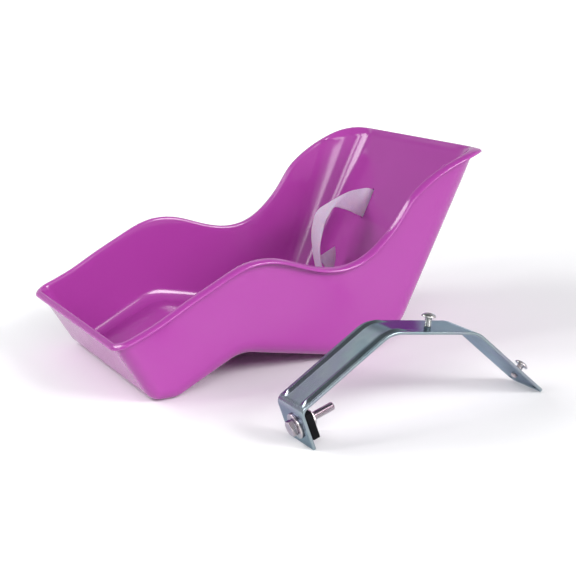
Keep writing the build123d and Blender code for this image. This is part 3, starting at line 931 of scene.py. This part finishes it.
def build_nut():
    ring = hex_ring(10.0)
    n = len(ring)
    H, r0 = 5.0, 3.02
    ch = lambda r: max(0.0, (r - 4.8)) * 0.6
    rows = [[(r0 + 0.45, 0.0)] * n, [(4.75, 0.0)] * n, [(r, ch(r)) for _, r in ring], [(r, H - ch(r)) for _, r in ring],
            [(4.75, H)] * n, [(r0 + 0.45, H)] * n, [(r0, H - 0.4)] * n, [(r0, 0.4)] * n]
    v = []
    for row in rows:
        for (a, _), (r, z) in zip(ring, row):
            v.append((r * math.cos(a), r * math.sin(a), z))
    f = grid_faces(len(rows), n)
    k = len(rows)
    f += [((k - 1) * n + j, (k - 1) * n + (j + 1) % n, (j + 1) % n, j) for j in range(n)]
    return make("clamp_hex_nut", v, f, sharp=35)


o, xd, zd = bplate(0, BOLT_S, BOLT_V, -(BR_T + 0.2 + 5.2))
nut = place(build_nut(), o, xd, -zd)
nut.data.materials.append(M_BOLT)
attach(nut, "block")
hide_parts("clamp_nut")

# ------------------------------------------------------------------ stage
fl = bpy.data.meshes.new("floor")
S = 12.0
fl.from_pydata([(-S, -S, -0.0002), (S, -S, -0.0002), (S, S, -0.0002), (-S, S, -0.0002)], [], [(0, 1, 2, 3)])
floor = bpy.data.objects.new("floor", fl)
COLL.objects.link(floor)
mf, nt, b = new_mat("pale_floor")
tc = node(nt, "ShaderNodeTexCoord").outputs["Object"]
nn = noise(nt, tc, 3.0, 2.0, 0.5)
rr = ramp(nt, nn.outputs["Fac"], [(0.3, (0.925, 0.925, 0.93)), (0.7, (0.95, 0.95, 0.95))])
nt.links.new(rr.outputs["Color"], b.inputs["Base Color"])
b.inputs["Roughness"].default_value = 0.7
b.inputs["Specular IOR Level"].default_value = 0.15
fl.materials.append(mf)

world = bpy.data.worlds.new("studio")
bpy.context.scene.world = world
world.use_nodes = True
wt = world.node_tree
bg = wt.nodes["Background"]
# a pale room: bright walls all round, a dimmer ceiling
gen = wt.nodes.new("ShaderNodeTexCoord")
sep = wt.nodes.new("ShaderNodeSeparateXYZ")
wt.links.new(gen.outputs["Generated"], sep.inputs["Vector"])
wr = wt.nodes.new("ShaderNodeValToRGB")
el = wr.color_ramp.elements
el[0].position, el[0].color = 0.0, (0.95, 0.95, 0.96, 1)
el[1].position, el[1].color = 1.0, (0.22, 0.23, 0.24, 1)
e = el.new(0.52)
e.color = (0.88, 0.89, 0.91, 1)
e = el.new(0.76)
e.color = (0.27, 0.28, 0.30, 1)
ad = wt.nodes.new("ShaderNodeMath")
ad.operation = "MULTIPLY_ADD"
ad.inputs[1].default_value = 0.30
wt.links.new(sep.outputs["Y"], ad.inputs[0])
wt.links.new(sep.outputs["Z"], ad.inputs[2])
ax = wt.nodes.new("ShaderNodeMath")
ax.operation = "MULTIPLY_ADD"
ax.inputs[1].default_value = -0.14
wt.links.new(sep.outputs["X"], ax.inputs[0])
wt.links.new(ad.outputs[0], ax.inputs[2])
wt.links.new(ax.outputs[0], wr.inputs["Fac"])
wt.links.new(wr.outputs["Color"], bg.inputs["Color"])
bg.inputs["Strength"].default_value = 0.78


def area(name, loc, target, size, power, size_y=None, color=(1, 1, 1)):
    li = bpy.data.lights.new(name, "AREA")
    li.energy = power
    li.size = size
    li.color = color
    if size_y:
        li.shape = "RECTANGLE"
        li.size_y = size_y
    ob = bpy.data.objects.new(name, li)
    ob.location = loc
    ob.rotation_euler = (Vector(target) - Vector(loc)).to_track_quat("-Z", "Y").to_euler()
    COLL.objects.link(ob)
    return ob


def sun(name, direction, strength, angle):
    li = bpy.data.lights.new(name, "SUN")
    li.energy = strength
    li.angle = math.radians(angle)
    ob = bpy.data.objects.new(name, li)
    ob.rotation_euler = Vector(direction).to_track_quat("-Z", "Y").to_euler()
    COLL.objects.link(ob)
    return ob


sun("front_fill", (-0.42, 0.80, -0.44), 2.15, 25)
area("left_box", (-0.94, 0.16, 0.88), (0.20, 0.02, 0.10), 0.26, 4.2, 0.8)
area("corner_box", (-0.70, 0.68, 0.94), (0.22, 0.06, 0.12), 0.60, 7.6, 0.5)
area("front_box", (-0.30, -1.10, 0.72), (0.20, 0.0, 0.10), 0.70, 4.4, 0.35)
w = area("floor_wash_near", (1.1, 2.9, 1.5), (1.1, 2.9, 0.0), 2.6, 60.0, 2.0)
w.data.spread = math.radians(110)
w = area("floor_wash_right", (1.5, 0.7, 1.4), (1.5, 0.7, 0.0), 1.0, 4.0, 1.2)
w.data.spread = math.radians(80)
w = area("floor_wash_far", (2.4, 6.6, 3.0), (2.4, 6.6, 0.0), 8.0, 420.0, 6.5)
w.data.spread = math.radians(120)

bpy.context.scene.view_settings.view_transform = "Standard"

# ------------------------------------------------------------------ camera
cam = bpy.data.cameras.new("camera")
cam.sensor_fit = "HORIZONTAL"
cam.sensor_width = 36.0
cam.lens = 81.25
cam.clip_start, cam.clip_end = 0.05, 50.0
co = bpy.data.objects.new("camera", cam)
right = Vector((0.891531, -0.448058, -0.066455))
down = Vector((-0.171844, -0.198826, -0.964851))
fwd = Vector((0.419097, 0.871615, -0.254256))
m = Matrix.Identity(4)
for k in range(3):
    m[k][0], m[k][1], m[k][2] = right[k], -down[k], -fwd[k]
m[0][3], m[1][3], m[2][3] = -0.29787, -0.9295, 0.30976
co.matrix_world = m
COLL.objects.link(co)
bpy.context.scene.camera = co
